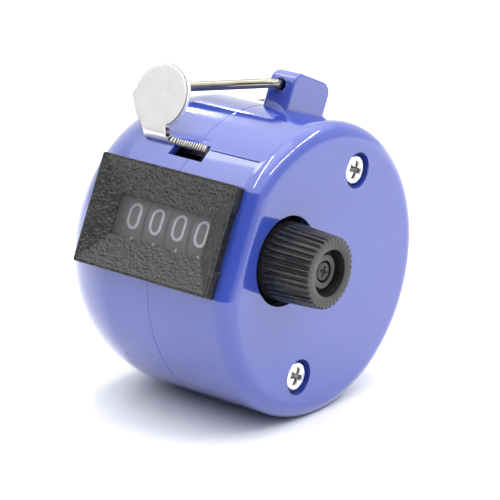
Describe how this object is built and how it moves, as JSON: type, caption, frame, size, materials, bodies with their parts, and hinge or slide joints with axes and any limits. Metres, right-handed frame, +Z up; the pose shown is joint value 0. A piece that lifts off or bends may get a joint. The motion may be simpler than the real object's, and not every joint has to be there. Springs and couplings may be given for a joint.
{
  "type": "hand tally counter",
  "caption": "Round blue plastic hand tally counter with a sprung thumb lever, numbered wheels behind a framed window, fluted reset knob and wire finger ring.",
  "frame": {"origin": "middle of the narrow rest flat under the drum, x = 0 half way along the drum", "axes": "X along the drum's axis towards the reset knob, Y to the back, Z up; the window faces -Y and leans back 25.2 degrees"},
  "size_m": [0.0489, 0.0467, 0.0519],
  "materials": {
    "blue_case": "high gloss moulded, saturated mid blue",
    "black_frame": "leather-grained black with a smooth edge",
    "clear_pane": "clear polished plastic",
    "bright_screw": "bright plated",
    "frame_steel": "plain rolled",
    "shaft_steel": "turned",
    "spring_steel": "blued spring temper",
    "black_knob": "satin moulded",
    "black_screw": "black oxide",
    "bright_plate": "bright nickel plate",
    "bright_wire": "bright nickel plate",
    "grey_wheel": "satin, pale printed digits"
  },
  "bodies": {
    "case": {"left_shell": "blue_case", "right_shell": "blue_case", "bezel": "black_frame", "window_pane": "clear_pane", "case_screws": "bright_screw", "left_side_plate": "frame_steel", "right_side_plate": "frame_steel", "frame_back_plate": "frame_steel", "frame_spacers": "frame_steel", "lever_shaft": "shaft_steel", "lever_clips": "spring_steel", "lever_spring": "spring_steel", "detent_comb": "spring_steel", "detent_rod": "shaft_steel"},
    "reset": {"reset_shaft": "shaft_steel", "shaft_collar": "shaft_steel", "shaft_clip": "spring_steel", "knob": "black_knob", "knob_screw": "black_screw"},
    "lever": {"thumb_lever": "bright_plate", "drive_comb": "frame_steel"},
    "ring": {"finger_ring": "bright_wire"},
    "wheel_1": {"number_wheel_1": "grey_wheel", "wheel_pawl_1": "spring_steel"},
    "wheel_2": {"number_wheel_2": "grey_wheel", "wheel_pawl_2": "spring_steel"},
    "wheel_3": {"number_wheel_3": "grey_wheel", "wheel_pawl_3": "spring_steel"},
    "wheel_4": {"number_wheel_4": "grey_wheel", "wheel_pawl_4": "spring_steel"}
  },
  "joints": [
    {"name": "knob_turn", "type": "hinge", "parent": "case", "child": "reset", "pos_m": [0, -0.00927, 0.02666], "axis": [1, 0, 0], "continuous": true},
    {"name": "lever_press", "type": "hinge", "parent": "case", "child": "lever", "pos_m": [0, -0.00894, 0.03689], "axis": [1, 0, 0], "range_deg": [0, 12], "stiffness_Nm_per_rad": 0.048, "springref_deg": -24.06, "deforming": ["lever_spring"]},
    {"name": "ring_swing", "type": "hinge", "parent": "case", "child": "ring", "pos_m": [0.00405, 0.00895, 0.04623], "axis": [0, 0.9367, -0.3502], "range_deg": [0, 185]},
    {"name": "wheel_1_count", "type": "hinge", "parent": "reset", "child": "wheel_1", "pos_m": [-0.00608, -0.00927, 0.02666], "axis": [-1, 0, 0], "continuous": true},
    {"name": "wheel_2_count", "type": "hinge", "parent": "reset", "child": "wheel_2", "pos_m": [-0.00175, -0.00927, 0.02666], "axis": [-1, 0, 0], "continuous": true},
    {"name": "wheel_3_count", "type": "hinge", "parent": "reset", "child": "wheel_3", "pos_m": [0.00259, -0.00927, 0.02666], "axis": [-1, 0, 0], "continuous": true},
    {"name": "wheel_4_count", "type": "hinge", "parent": "reset", "child": "wheel_4", "pos_m": [0.00692, -0.00927, 0.02666], "axis": [-1, 0, 0], "continuous": true}
  ]
}
